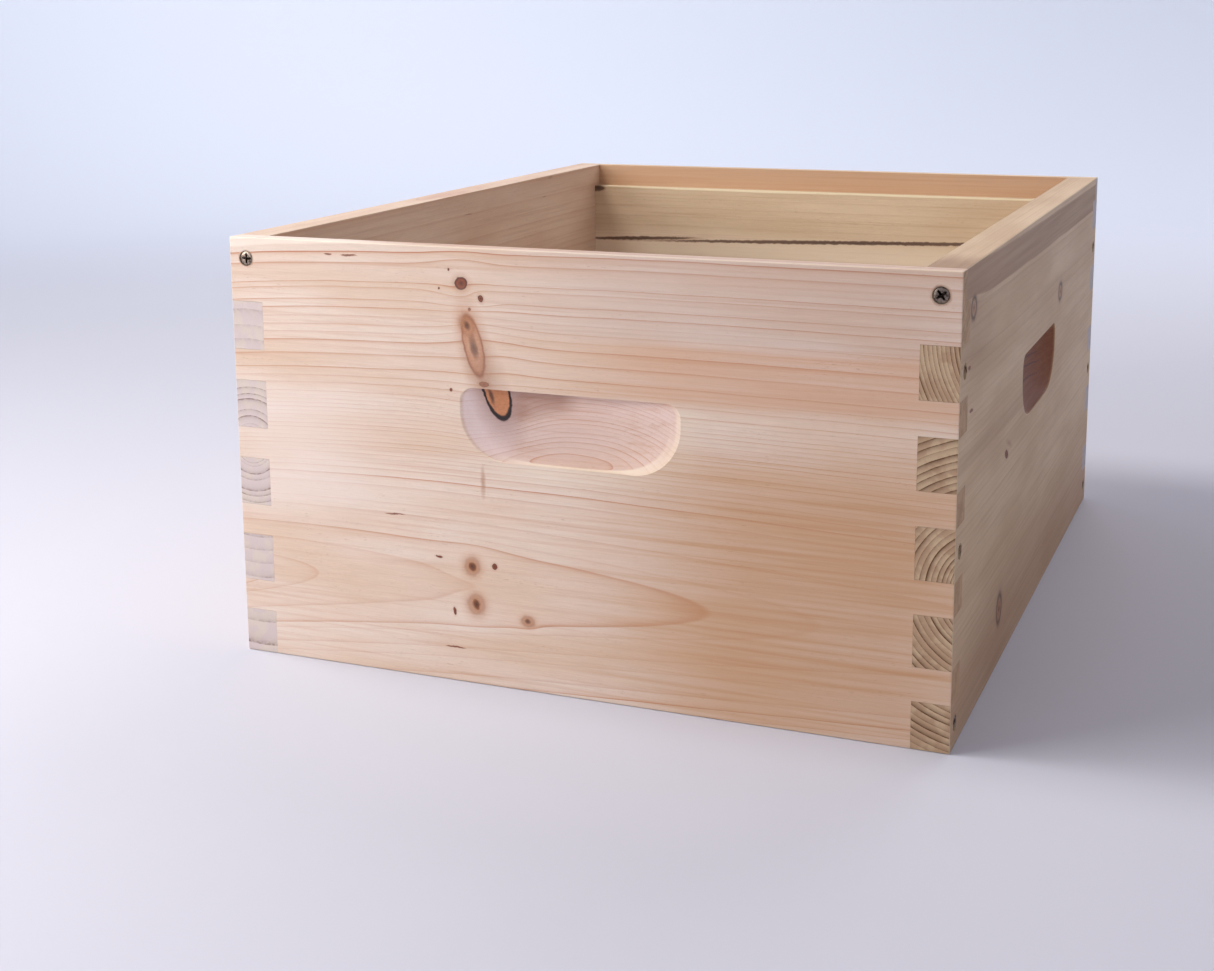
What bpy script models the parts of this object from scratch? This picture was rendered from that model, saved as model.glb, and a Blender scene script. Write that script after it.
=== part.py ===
# A deep hive body: two end boards and two side boards, finger-jointed at the corners and screwed.
# Frame: origin at the middle of the footprint on the ground, +X across the end boards, +Y to the back, +Z up.
# Lengths are in metres.
import math

import bmesh
import bpy
from mathutils import Matrix, Vector

# The box, outside
WIDTH = 0.413
LENGTH = 0.505
HEIGHT = 0.244
END_THICKNESS = 0.020
SIDE_THICKNESS = 0.020

# Clearance left between two pieces that touch on the real box
JOINT_GAP = 0.0003

# Corner fingers, counted from the ground up: the lowest one belongs to the side board
LOWEST_FINGER = 0.0255
SIDE_FINGER = 0.0275
END_FINGER = 0.018
LEAST_TOP_FINGER = 0.030

# The rebate that carries the ears of the frames, along the inner top edge of each end board
REST_DROP = 0.016
LIP_THICKNESS = 0.010

# The scooped handhold in the outer face of every board
HANDHOLD_WIDTH = 0.127
HANDHOLD_HEIGHT = 0.040
HANDHOLD_DROP = 0.076
HANDHOLD_DEPTH = 0.011
HANDHOLD_LOWER_RADIUS = 0.027
HANDHOLD_UPPER_RADIUS = 0.008
HANDHOLD_FLOOR_POWER = 2.2
HANDHOLD_END_POWER = 2.4
HANDHOLD_LOWER_STEPS = 6
HANDHOLD_UPPER_STEPS = 3
HANDHOLD_COLUMNS = 16

# Countersunk cross-head wood screws
SCREW_LENGTH = 0.050
SCREW_SHANK_RADIUS = 0.002
SCREW_HEAD_RADIUS = 0.004
SCREW_HEAD_RIM = 0.0005
SCREW_HEAD_HEIGHT = 0.0028
SCREW_POINT_LENGTH = 0.006
SCREW_POINT_RADIUS = 0.0004
SCREW_SEGMENTS = 16
RECESS_REACH = 0.0022
RECESS_BAR = 0.0009
RECESS_DEPTH = 0.0018
RECESS_TAPER = 0.45

# Where the screws go
END_SCREW_INSET = 0.0105
END_SCREW_DROP = 0.012
END_SCREW_SINK = 0.0005
SIDE_SCREW_INSET = 0.011
LOW_SCREW_SINK = 0.0005
HIGH_SCREW_SINK = 0.0022

# Cutters run this far past the face that they open
CUT_PAST = 0.004

PINE = (0.70, 0.52, 0.37)
ZINC = (0.62, 0.62, 0.64)


def clear_scene():
    for thing in list(bpy.data.objects):
        bpy.data.objects.remove(thing, do_unlink=True)


def make_material(name, colour, roughness, metallic):
    material = bpy.data.materials.new(name)
    material.use_nodes = True
    shader = material.node_tree.nodes["Principled BSDF"]
    shader.inputs["Base Color"].default_value = (*colour, 1.0)
    shader.inputs["Roughness"].default_value = roughness
    shader.inputs["Metallic"].default_value = metallic
    return material


def add_object(name, bm, parent):
    bmesh.ops.recalc_face_normals(bm, faces=bm.faces[:])
    mesh = bpy.data.meshes.new(name)
    bm.to_mesh(mesh)
    bm.free()
    thing = bpy.data.objects.new(name, mesh)
    bpy.context.scene.collection.objects.link(thing)
    thing.parent = parent
    return thing


def make_cutter(name, bm, parent):
    cutter = add_object(name, bm, parent)
    cutter.hide_render = True
    cutter.display_type = "WIRE"
    return cutter


def cut(board, cutter, label):
    modifier = board.modifiers.new(label, "BOOLEAN")
    modifier.operation = "DIFFERENCE"
    modifier.solver = "EXACT"
    modifier.object = cutter


def finger_zones():
    """The bands up a corner as (bottom, top, owner), from the ground to the rim."""
    pair = SIDE_FINGER + END_FINGER
    pairs = int((HEIGHT - LOWEST_FINGER - LEAST_TOP_FINGER) // pair)
    zones = [(0.0, LOWEST_FINGER, "side")]
    for index in range(pairs):
        base = LOWEST_FINGER + index * pair
        zones.append((base, base + END_FINGER, "end"))
        zones.append((base + END_FINGER, base + pair, "side"))
    zones.append((zones[-1][1], HEIGHT, "end"))
    return zones


def end_board_steps():
    """How far an end board reaches from its middle at each height, as (bottom, top, reach)."""
    steps = []
    for bottom, top, owner in finger_zones():
        if owner == "end":
            high = top if top == HEIGHT else top - JOINT_GAP / 2
            steps.append((bottom + JOINT_GAP / 2, high, WIDTH / 2))
        else:
            low = bottom if bottom == 0 else bottom - JOINT_GAP / 2
            steps.append((low, top + JOINT_GAP / 2, WIDTH / 2 - SIDE_THICKNESS - JOINT_GAP))
    return steps


def side_board_steps():
    """The same for a side board, whose top corners are tongues that lie in the end boards' rebates."""
    steps = []
    notch = LENGTH / 2 - END_THICKNESS - JOINT_GAP
    tongue_bottom = HEIGHT - REST_DROP
    for bottom, top, owner in finger_zones():
        if owner == "side":
            low = bottom if bottom == 0 else bottom + JOINT_GAP / 2
            steps.append((low, top - JOINT_GAP / 2, LENGTH / 2))
        elif top < HEIGHT:
            steps.append((bottom - JOINT_GAP / 2, top + JOINT_GAP / 2, notch))
        else:
            steps.append((bottom - JOINT_GAP / 2, tongue_bottom, notch))
            steps.append((tongue_bottom, HEIGHT, LENGTH / 2 - LIP_THICKNESS - JOINT_GAP))
    return steps


def stepped_board(steps, thickness):
    """A board with the same stepped outline at both ends: outer face at y = 0, thick along +y."""
    bm = bmesh.new()
    right = []
    for bottom, top, reach in steps:
        right.append((reach, bottom))
        right.append((reach, top))
    left = [(-x, z) for x, z in reversed(right)]
    outline = [bm.verts.new((x, 0, z)) for x, z in right + left]
    face = bm.faces.new(outline)
    grown = bmesh.ops.extrude_face_region(bm, geom=[face])
    moved = [item for item in grown["geom"] if isinstance(item, bmesh.types.BMVert)]
    bmesh.ops.translate(bm, verts=moved, vec=(0, thickness, 0))
    return bm


def box_mesh(low, high):
    bm = bmesh.new()
    size = Vector(high) - Vector(low)
    centre = (Vector(high) + Vector(low)) / 2
    bmesh.ops.create_cube(bm, size=1.0, matrix=Matrix.Translation(centre) @ Matrix.Diagonal((*size, 1)))
    return bm


def handhold_half_width(height):
    """Half the opening's width at a height above its lower edge, round at the corners."""
    half = HANDHOLD_WIDTH / 2
    below_top = HANDHOLD_HEIGHT - height
    if height < HANDHOLD_LOWER_RADIUS:
        r = HANDHOLD_LOWER_RADIUS
        return half - r + math.sqrt(r * r - (r - height) ** 2)
    if below_top < HANDHOLD_UPPER_RADIUS:
        r = HANDHOLD_UPPER_RADIUS
        return half - r + math.sqrt(r * r - (r - below_top) ** 2)
    return half


def rounded_fall(share, power):
    """1 at share 0, falling ever faster to 0 at share 1."""
    return max(0.0, 1 - share**power) ** (1 / power)


def handhold_heights():
    """Heights above the lower edge at which the scoop is drawn, close together where its outline bends."""
    lower = [math.pi / 2 * k / HANDHOLD_LOWER_STEPS for k in range(HANDHOLD_LOWER_STEPS + 1)]
    upper = [math.pi / 2 * k / HANDHOLD_UPPER_STEPS for k in range(HANDHOLD_UPPER_STEPS + 1)]
    heights = [HANDHOLD_LOWER_RADIUS * (1 - math.cos(a)) for a in lower]
    return heights + [HANDHOLD_HEIGHT - HANDHOLD_UPPER_RADIUS * (1 - math.sin(a)) for a in upper]


def handhold_mesh():
    """The scoop's cutter: deepest under its straight top edge, steep at its foot and easing out at both ends."""
    bm = bmesh.new()
    rows = []
    floor_z = HEIGHT - HANDHOLD_DROP - HANDHOLD_HEIGHT
    for height in handhold_heights():
        half = handhold_half_width(height)
        depth = HANDHOLD_DEPTH * rounded_fall(1 - height / HANDHOLD_HEIGHT, HANDHOLD_FLOOR_POWER)
        row = [bm.verts.new((-half, -CUT_PAST, floor_z + height))]
        for column in range(HANDHOLD_COLUMNS + 1):
            across = -math.cos(math.pi * column / HANDHOLD_COLUMNS)
            inward = depth * (1 - abs(across) ** HANDHOLD_END_POWER)
            row.append(bm.verts.new((half * across, inward, floor_z + height)))
        row.append(bm.verts.new((half, -CUT_PAST, floor_z + height)))
        rows.append(row)
    for lower, upper in zip(rows, rows[1:]):
        for i in range(len(lower)):
            j = (i + 1) % len(lower)
            bm.faces.new((lower[i], lower[j], upper[j], upper[i]))
    bm.faces.new(rows[-1])
    bm.faces.new(rows[0])
    return bm


def turned_solid(profile, segments):
    """A closed solid turned about z from (radius, height) points, with flat ends."""
    bm = bmesh.new()
    rings = []
    for radius, height in profile:
        angles = [2 * math.pi * k / segments for k in range(segments)]
        rings.append([bm.verts.new((radius * math.cos(a), radius * math.sin(a), height)) for a in angles])
    for upper, lower in zip(rings, rings[1:]):
        for i in range(segments):
            j = (i + 1) % segments
            bm.faces.new((upper[i], upper[j], lower[j], lower[i]))
    bm.faces.new(rings[0])
    bm.faces.new(rings[-1])
    return bm


def screw_blank():
    """A screw with its head's flat face at height 0 and its point down."""
    profile = [
        (SCREW_HEAD_RADIUS, 0.0),
        (SCREW_HEAD_RADIUS, -SCREW_HEAD_RIM),
        (SCREW_SHANK_RADIUS, -SCREW_HEAD_HEIGHT),
        (SCREW_SHANK_RADIUS, SCREW_POINT_LENGTH - SCREW_LENGTH),
        (SCREW_POINT_RADIUS, -SCREW_LENGTH),
    ]
    return turned_solid(profile, SCREW_SEGMENTS)


def screw_hole(sink):
    """The countersunk hole for that screw, open past a face that is sink above the head."""
    profile = [
        (SCREW_HEAD_RADIUS + JOINT_GAP, sink + CUT_PAST),
        (SCREW_HEAD_RADIUS + JOINT_GAP, -SCREW_HEAD_RIM),
        (SCREW_SHANK_RADIUS + JOINT_GAP, -SCREW_HEAD_HEIGHT),
        (SCREW_SHANK_RADIUS + JOINT_GAP, -SCREW_LENGTH - JOINT_GAP),
    ]
    return turned_solid(profile, SCREW_SEGMENTS)


def cross_outline(reach, bar):
    return [
        (reach, -bar), (reach, bar), (bar, bar), (bar, reach),
        (-bar, reach), (-bar, bar), (-reach, bar), (-reach, -bar),
        (-bar, -bar), (-bar, -reach), (bar, -reach), (bar, -bar),
    ]


def driver_recess():
    """The cross cut for the driver, narrower at its floor."""
    bm = bmesh.new()
    above = SCREW_HEAD_RIM
    slope = (1 - RECESS_TAPER) / RECESS_DEPTH
    wide = 1 + slope * above
    top = [bm.verts.new((x, y, above)) for x, y in cross_outline(RECESS_REACH * wide, RECESS_BAR / 2 * wide)]
    floor = cross_outline(RECESS_REACH * RECESS_TAPER, RECESS_BAR / 2 * RECESS_TAPER)
    low = [bm.verts.new((x, y, -RECESS_DEPTH)) for x, y in floor]
    for i in range(len(top)):
        j = (i + 1) % len(top)
        bm.faces.new((top[i], top[j], low[j], low[i]))
    bm.faces.new(top)
    bm.faces.new(low)
    return bm


def board_places():
    """Each board's node name, how its outer face is turned about the vertical, and where that face stands."""
    return {
        "front_board": (0, (0, -LENGTH / 2, 0)),
        "back_board": (180, (0, LENGTH / 2, 0)),
        "left_board": (-90, (-WIDTH / 2, 0, 0)),
        "right_board": (90, (WIDTH / 2, 0, 0)),
    }


def board_matrix(name):
    turn, place = board_places()[name]
    return Matrix.Translation(place) @ Matrix.Rotation(math.radians(turn), 4, "Z")


def neighbour(name, side):
    """The board that meets this one at its local -x (side -1) or +x (side 1) end."""
    ring = ["front_board", "right_board", "back_board", "left_board"]
    return ring[(ring.index(name) + side) % len(ring)]


def screw_matrix(board, along, height, sink):
    """Head towards the outside of the board, point towards its inside."""
    seat = Matrix.Translation((along, sink, height)) @ Matrix.Rotation(math.radians(90), 4, "X")
    return board_matrix(board) @ seat


def side_screw_heights():
    """The middles of the lowest, the middle and the highest side finger, with how deep each head sits."""
    fingers = [(bottom + top) / 2 for bottom, top, owner in finger_zones() if owner == "side"]
    return {
        "low": (fingers[0], LOW_SCREW_SINK),
        "middle": (fingers[len(fingers) // 2], HIGH_SCREW_SINK),
        "high": (fingers[-1], HIGH_SCREW_SINK),
    }


def screw_plan():
    """Every screw as (node name, the two boards it joins, its matrix, how deep its head sits)."""
    plan = []
    for board in ("front_board", "back_board"):
        for side in (-1, 1):
            other = neighbour(board, side)
            name = f"screw_{board.split('_')[0]}_{other.split('_')[0]}_top"
            along = side * (WIDTH / 2 - END_SCREW_INSET)
            matrix = screw_matrix(board, along, HEIGHT - END_SCREW_DROP, END_SCREW_SINK)
            plan.append((name, (board, other), matrix, END_SCREW_SINK))
    for board in ("left_board", "right_board"):
        for side in (-1, 1):
            other = neighbour(board, side)
            along = side * (LENGTH / 2 - SIDE_SCREW_INSET)
            for row, (height, sink) in side_screw_heights().items():
                name = f"screw_{board.split('_')[0]}_{other.split('_')[0]}_{row}"
                matrix = screw_matrix(board, along, height, sink)
                plan.append((name, (board, other), matrix, sink))
    return plan


def make_boards(parent):
    boards = {}
    for name, (turn, place) in board_places().items():
        if name in ("front_board", "back_board"):
            bm = stepped_board(end_board_steps(), END_THICKNESS)
        else:
            bm = stepped_board(side_board_steps(), SIDE_THICKNESS)
        board = add_object(name, bm, parent)
        board.location = place
        board.rotation_euler = (0, 0, math.radians(turn))
        board.data.materials.append(make_material(f"{name}_pine", PINE, 0.7, 0.0))
        boards[name] = board
    return boards


def cut_frame_rests(boards):
    """Takes the inner top edge off both end boards, a gap lower where the side boards lie on it."""
    reach = WIDTH / 2 + CUT_PAST
    tongue = WIDTH / 2 - SIDE_THICKNESS - JOINT_GAP
    rest = HEIGHT - REST_DROP
    bands = {
        "middle_rest": (-reach, reach, rest),
        "left_seat": (-reach, -tongue, rest - JOINT_GAP),
        "right_seat": (tongue, reach, rest - JOINT_GAP),
    }
    for name in ("front_board", "back_board"):
        for label, (left, right, bottom) in bands.items():
            low = (left, LIP_THICKNESS, bottom)
            high = (right, END_THICKNESS + CUT_PAST, HEIGHT + CUT_PAST)
            cutter = make_cutter(f"{name}_{label}_cut", box_mesh(low, high), boards[name])
            cut(boards[name], cutter, label)


def cut_handholds(boards):
    for name, board in boards.items():
        cutter = make_cutter(f"{name}_handhold_cut", handhold_mesh(), board)
        cut(board, cutter, "handhold")


def cut_screw_holes(boards, parent):
    """One cutter for each board, holding the holes of every screw that passes or enters it."""
    for name, board in boards.items():
        joined = bmesh.new()
        for _, pair, matrix, sink in screw_plan():
            if name not in pair:
                continue
            hole = screw_hole(sink)
            hole.transform(matrix)
            mesh = bpy.data.meshes.new("hole")
            hole.to_mesh(mesh)
            hole.free()
            joined.from_mesh(mesh)
            bpy.data.meshes.remove(mesh)
        cutter = make_cutter(f"{name}_hole_cut", joined, parent)
        cut(board, cutter, "screw holes")


def make_screws(parent):
    recess = make_cutter("driver_recess_cut", driver_recess(), parent)
    for name, _, matrix, _ in screw_plan():
        screw = add_object(name, screw_blank(), parent)
        screw.data.materials.append(make_material(f"{name}_zinc", ZINC, 0.35, 1.0))
        bm = bmesh.new()
        bm.from_mesh(recess.data)
        own_recess = make_cutter(f"{name}_recess_cut", bm, parent)
        own_recess.matrix_world = matrix
        screw.matrix_world = matrix
        cut(screw, own_recess, "driver recess")
        screw.data.shade_smooth()
        screw.data.set_sharp_from_angle(angle=math.radians(30))
    bpy.data.objects.remove(recess, do_unlink=True)


def build():
    clear_scene()
    hive = bpy.data.objects.new("hive_body", None)
    bpy.context.scene.collection.objects.link(hive)
    boards = make_boards(hive)
    cut_frame_rests(boards)
    cut_handholds(boards)
    cut_screw_holes(boards, hive)
    make_screws(hive)


build()
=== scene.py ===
import math

import bmesh
import bpy
from mathutils import Matrix, Vector


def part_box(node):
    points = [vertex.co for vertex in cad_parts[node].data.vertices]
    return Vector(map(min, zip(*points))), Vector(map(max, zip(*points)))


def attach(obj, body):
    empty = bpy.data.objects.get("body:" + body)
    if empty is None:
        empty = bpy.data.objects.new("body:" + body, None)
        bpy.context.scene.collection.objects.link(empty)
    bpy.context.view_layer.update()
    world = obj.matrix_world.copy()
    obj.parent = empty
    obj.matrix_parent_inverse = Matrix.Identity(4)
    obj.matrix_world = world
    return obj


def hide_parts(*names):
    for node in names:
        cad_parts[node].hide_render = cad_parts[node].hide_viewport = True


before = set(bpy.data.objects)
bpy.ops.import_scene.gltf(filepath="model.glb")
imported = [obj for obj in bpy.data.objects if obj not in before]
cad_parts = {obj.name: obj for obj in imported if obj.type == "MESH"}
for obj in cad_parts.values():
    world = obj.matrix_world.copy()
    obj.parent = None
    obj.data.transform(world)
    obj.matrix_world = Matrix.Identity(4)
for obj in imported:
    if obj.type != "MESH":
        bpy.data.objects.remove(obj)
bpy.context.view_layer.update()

print("frame loaded,", len(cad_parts), "pieces")

frontLow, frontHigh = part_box("front_board")
backLow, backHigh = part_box("back_board")
leftLow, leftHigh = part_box("left_board")
hiveWidth = frontHigh.x - frontLow.x
hiveLength = backHigh.y - frontLow.y
hiveHeight = frontHigh.z
endThickness = frontHigh.y - frontLow.y
sideThickness = leftHigh.x - leftLow.x

cornerJoint = {
    "lowestFinger": 0.0255,
    "sideFinger": 0.0275,
    "endFinger": 0.018,
    "leastTopFinger": 0.030,
    "seam": 0.00012,  # what shows of the glue line between two fingers
}

frameRest = {"drop": 0.016, "lip": 0.010}

handhold = {
    "width": 0.127,
    "height": 0.040,
    "top": 0.168,
    "depth": 0.011,
    "lowerRadius": 0.027,
    "upperRadius": 0.008,
    "floorPower": 2.2,
    "endPower": 2.4,
    "lowerSteps": 26,
    "upperSteps": 8,
    "columns": 72,
    "rimEase": 0.00022,
}

easing = {
    "arris": 0.0006,  # sanded outer corners of the box
    "inner": 0.0004,  # lip, ledge and inner rim
    "finger": 0.00012,
    "segments": 3,
    "keen": 60,  # degrees, the least turn of an edge that still gets eased
    "rimTurn": 20,
}


# boards

def fingerBands():
    joint = cornerJoint
    pair = joint["sideFinger"] + joint["endFinger"]
    pairs = int((hiveHeight - joint["lowestFinger"] - joint["leastTopFinger"]) // pair)
    bands = [(0.0, joint["lowestFinger"], "side")]
    for index in range(pairs):
        base = joint["lowestFinger"] + index * pair
        bands.append((base, base + joint["endFinger"], "end"))
        bands.append((base + joint["endFinger"], base + pair, "side"))
    bands.append((bands[-1][1], hiveHeight, "end"))
    return bands


def endBoardSteps():
    half = cornerJoint["seam"] / 2
    steps = []
    for bottom, top, owner in fingerBands():
        if owner == "end":
            high = top if top == hiveHeight else top - half
            steps.append((bottom + half, high, hiveWidth / 2))
        else:
            low = bottom if bottom == 0 else bottom - half
            steps.append((low, top + half, hiveWidth / 2 - sideThickness - half))
    return steps


def sideBoardSteps():
    half = cornerJoint["seam"] / 2
    notch = hiveLength / 2 - endThickness - half
    tongue = hiveHeight - frameRest["drop"]
    steps = []
    for bottom, top, owner in fingerBands():
        if owner == "side":
            low = bottom if bottom == 0 else bottom + half
            steps.append((low, top - half, hiveLength / 2))
        elif top < hiveHeight:
            steps.append((bottom - half, top + half, notch))
        else:
            steps.append((bottom - half, tongue, notch))
            steps.append((tongue, hiveHeight, hiveLength / 2 - frameRest["lip"] - half))
    return steps


def boardBlank(steps, thickness):  # outer face at y = 0, thick along +y
    bm = bmesh.new()
    right = []
    for bottom, top, reach in steps:
        right += [(reach, bottom), (reach, top)]
    left = [(-x, z) for x, z in reversed(right)]
    face = bm.faces.new([bm.verts.new((x, 0, z)) for x, z in right + left])
    grown = bmesh.ops.extrude_face_region(bm, geom=[face])
    moved = [item for item in grown["geom"] if isinstance(item, bmesh.types.BMVert)]
    bmesh.ops.translate(bm, verts=moved, vec=(0, thickness, 0))
    bmesh.ops.recalc_face_normals(bm, faces=bm.faces[:])
    return bm


def meshObject(name, bm):
    mesh = bpy.data.meshes.new(name)
    bm.to_mesh(mesh)
    bm.free()
    thing = bpy.data.objects.new(name, mesh)
    bpy.context.scene.collection.objects.link(thing)
    return thing


def carve(thing, bm, label):  # takes a closed shape out of a piece for good
    cutter = meshObject(label, bm)
    modifier = thing.modifiers.new(label, "BOOLEAN")
    modifier.operation = "DIFFERENCE"
    modifier.solver = "EXACT"
    modifier.object = cutter
    graph = bpy.context.evaluated_depsgraph_get()
    carved = bpy.data.meshes.new_from_object(thing.evaluated_get(graph))
    thing.modifiers.clear()
    old = thing.data
    thing.data = carved
    bpy.data.meshes.remove(old)
    bpy.data.objects.remove(cutter, do_unlink=True)


def boxShape(low, high):
    bm = bmesh.new()
    size = Vector(high) - Vector(low)
    middle = (Vector(high) + Vector(low)) / 2
    bmesh.ops.create_cube(bm, size=1.0, matrix=Matrix.Translation(middle) @ Matrix.Diagonal((*size, 1)))
    return bm


def handholdHalfWidth(height):
    half = handhold["width"] / 2
    belowTop = handhold["height"] - height
    if height < handhold["lowerRadius"]:
        radius = handhold["lowerRadius"]
        return half - radius + math.sqrt(max(0, radius * radius - (radius - height) ** 2))
    if belowTop < handhold["upperRadius"]:
        radius = handhold["upperRadius"]
        return half - radius + math.sqrt(max(0, radius * radius - (radius - belowTop) ** 2))
    return half


def roundedFall(share, power):
    return max(0.0, 1 - share**power) ** (1 / power)


def handholdShape():
    lowerAngles = [math.pi / 2 * k / handhold["lowerSteps"] for k in range(handhold["lowerSteps"] + 1)]
    upperAngles = [math.pi / 2 * k / handhold["upperSteps"] for k in range(handhold["upperSteps"] + 1)]
    heights = [handhold["lowerRadius"] * (1 - math.cos(a)) for a in lowerAngles]
    heights += [handhold["height"] - handhold["upperRadius"] * (1 - math.sin(a)) for a in upperAngles]
    floor = handhold["top"] - handhold["height"]
    past = -handhold["upperRadius"] / 2
    bm = bmesh.new()
    rows = []
    for height in heights:
        half = handholdHalfWidth(height)
        depth = handhold["depth"] * roundedFall(1 - height / handhold["height"], handhold["floorPower"])
        row = [bm.verts.new((-half, past, floor + height))]
        for column in range(handhold["columns"] + 1):
            across = -math.cos(math.pi * column / handhold["columns"])
            inward = depth * (1 - abs(across) ** handhold["endPower"])
            row.append(bm.verts.new((half * across, inward, floor + height)))
        row.append(bm.verts.new((half, past, floor + height)))
        rows.append(row)
    for lower, upper in zip(rows, rows[1:]):
        for i in range(len(lower)):
            j = (i + 1) % len(lower)
            bm.faces.new((lower[i], lower[j], upper[j], upper[i]))
    bm.faces.new(rows[-1])
    bm.faces.new(rows[0])
    bmesh.ops.recalc_face_normals(bm, faces=bm.faces[:])
    return bm


def easeEdges(bm, chosen, width):
    bmesh.ops.bevel(
        bm, geom=chosen, offset=width, segments=easing["segments"], profile=0.5,
        affect="EDGES", clamp_overlap=True,
    )


def keenEdges(bm):
    least = math.radians(easing["keen"])
    return [e for e in bm.edges if len(e.link_faces) == 2 and e.calc_face_angle_signed() > least]


def easeBoard(thing, halfLength):
    bm = bmesh.new()
    bm.from_mesh(thing.data)
    bmesh.ops.dissolve_limit(bm, angle_limit=math.radians(0.1), verts=bm.verts[:], edges=bm.edges[:])
    near = 0.0001

    def outside(face):  # the face lies on the outside of the whole box
        points = [v.co for v in face.verts]
        return (
            all(abs(p.y) < near for p in points)
            or all(abs(abs(p.x) - halfLength) < near for p in points)
            or all(p.z < near for p in points)
            or all(p.z > hiveHeight - near for p in points)
        )

    arrises = [
        e for e in keenEdges(bm)
        if all(outside(f) for f in e.link_faces) and min(v.co.y for v in e.verts) < near
    ]
    easeEdges(bm, arrises, easing["arris"])
    inner = [
        e for e in keenEdges(bm)
        if all(v.co.y > near for v in e.verts) and (e.verts[0].co - e.verts[1].co).x ** 2 > halfLength**2
    ]
    easeEdges(bm, inner, easing["inner"])
    easeEdges(bm, keenEdges(bm), easing["finger"])
    bm.to_mesh(thing.data)
    bm.free()


def easeHandholdRim(thing):
    bm = bmesh.new()
    bm.from_mesh(thing.data)
    bottom = handhold["top"] - handhold["height"]
    reach = handhold["width"] / 2
    slack = 0.0005

    def onRim(edge):
        flat = all(abs(v.co.y) < 1e-6 for v in edge.verts)
        inside = all(
            abs(v.co.x) < reach + slack and bottom - slack < v.co.z < handhold["top"] + slack
            for v in edge.verts
        )
        sharp = edge.calc_face_angle(0) > math.radians(easing["rimTurn"])
        return flat and inside and len(edge.link_faces) == 2 and sharp

    easeEdges(bm, [e for e in bm.edges if onRim(e)], handhold["rimEase"])
    for face in bm.faces:
        middle = face.calc_center_median()
        flush = abs(abs(face.normal.x) + abs(face.normal.y) + abs(face.normal.z) - 1) < 1e-4
        face.smooth = not flush and abs(middle.x) < reach and bottom < middle.z < handhold["top"] - slack
    bm.to_mesh(thing.data)
    bm.free()


def boardPlaces():
    return {
        "front_board": (0, (0, frontLow.y, 0)),
        "back_board": (180, (0, backHigh.y, 0)),
        "left_board": (-90, (leftLow.x, 0, 0)),
        "right_board": (90, (-leftLow.x, 0, 0)),
    }


def boardMatrix(name):
    turn, place = boardPlaces()[name]
    return Matrix.Translation(place) @ Matrix.Rotation(math.radians(turn), 4, "Z")


# screws

screwSizes = {
    "length": 0.050,
    "shank": 0.002,
    "head": 0.004,
    "rim": 0.0005,
    "headHeight": 0.0028,
    "dome": 0.00012,
    "edge": 0.0001,
    "fillet": 0.0003,
    "point": 0.006,
    "tip": 0.0002,
    "coreShare": 0.82,  # of the shank, between the turns of thread
    "threadDepth": 0.0005,
    "threadPitch": 0.0018,
    "threadLength": 0.034,
    "crestShare": 0.45,
    "pitchSteps": 8,
    "around": 40,
    "wing": 0.0029,
    "bar": 0.0011,
    "recessDepth": 0.0026,
    "recessTaper": 0.42,
    "recessCorner": 0.64,
    "recessTip": 1.2,
    "cutAbove": 0.0005,
    "clearance": 0.00035,
    "shankClearance": 0.0006,
    "holeAbove": 0.002,
    "sharpTurn": 32,
    "turnStep": 37,  # degrees that each screw is driven further than the one before
}

screwPlaces = {
    "endInset": 0.0105,
    "endDrop": 0.012,
    "endSink": 0.0005,
    "sideInset": 0.011,
    "lowSink": 0.0005,
    "highSink": 0.0022,
}


def turnedRing(bm, radiusAt, height, around):
    ring = []
    for step in range(around):
        angle = 2 * math.pi * step / around
        radius = radiusAt(angle)
        ring.append(bm.verts.new((radius * math.cos(angle), radius * math.sin(angle), height)))
    return ring


def joinRings(bm, rings):
    for upper, lower in zip(rings, rings[1:]):
        for i in range(len(upper)):
            j = (i + 1) % len(upper)
            bm.faces.new((upper[i], upper[j], lower[j], lower[i]))


def closeRings(bm, rings):
    joinRings(bm, rings)
    bm.faces.new(rings[0])
    bm.faces.new(rings[-1])
    bmesh.ops.recalc_face_normals(bm, faces=bm.faces[:])
    return bm


def turnedShape(profile, around):
    bm = bmesh.new()
    rings = [turnedRing(bm, lambda _, r=radius: r, height, around) for radius, height in profile]
    return closeRings(bm, rings)


def threadRadius(angle, height):  # the shank swells into one turn of thread for each pitch
    size = screwSizes
    start = -size["length"]
    stop = start + size["threadLength"]
    taper = min(1.0, (height - start) / size["point"])
    core = size["shank"] * size["coreShare"] if height < stop else size["shank"]
    core = max(size["tip"], core * taper)
    if height > stop:
        return core
    turn = (height - start) / size["threadPitch"] - angle / (2 * math.pi)
    crest = abs((turn % 1.0) - 0.5) * 2
    return core + size["threadDepth"] * max(0.0, 1 - crest / size["crestShare"]) * min(1.0, taper * 1.6)


def screwShape():
    size = screwSizes
    head, dome, edge, fillet = size["head"], size["dome"], size["edge"], size["fillet"]
    neck = size["headHeight"] + fillet
    outline = [
        (edge * 4, dome),
        (head * 0.55, dome * 0.8),
        (head - edge * 3.5, dome * 0.25),
        (head - edge, -edge),
        (head, -fillet),
        (head - edge, -size["rim"]),
        (size["shank"] + edge * 4, -size["headHeight"] + edge * 2),
        (size["shank"], -neck),
    ]
    bm = bmesh.new()
    around = size["around"]
    rings = [turnedRing(bm, lambda _, r=radius: r, height, around) for radius, height in outline]
    steps = int((size["length"] - size["headHeight"]) / (size["threadPitch"] / size["pitchSteps"]))
    for step in range(1, steps + 1):
        height = -neck - (size["length"] - neck) * step / steps
        rings.append(turnedRing(bm, lambda a, z=height: threadRadius(a, z), height, around))
    return closeRings(bm, rings)


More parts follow.
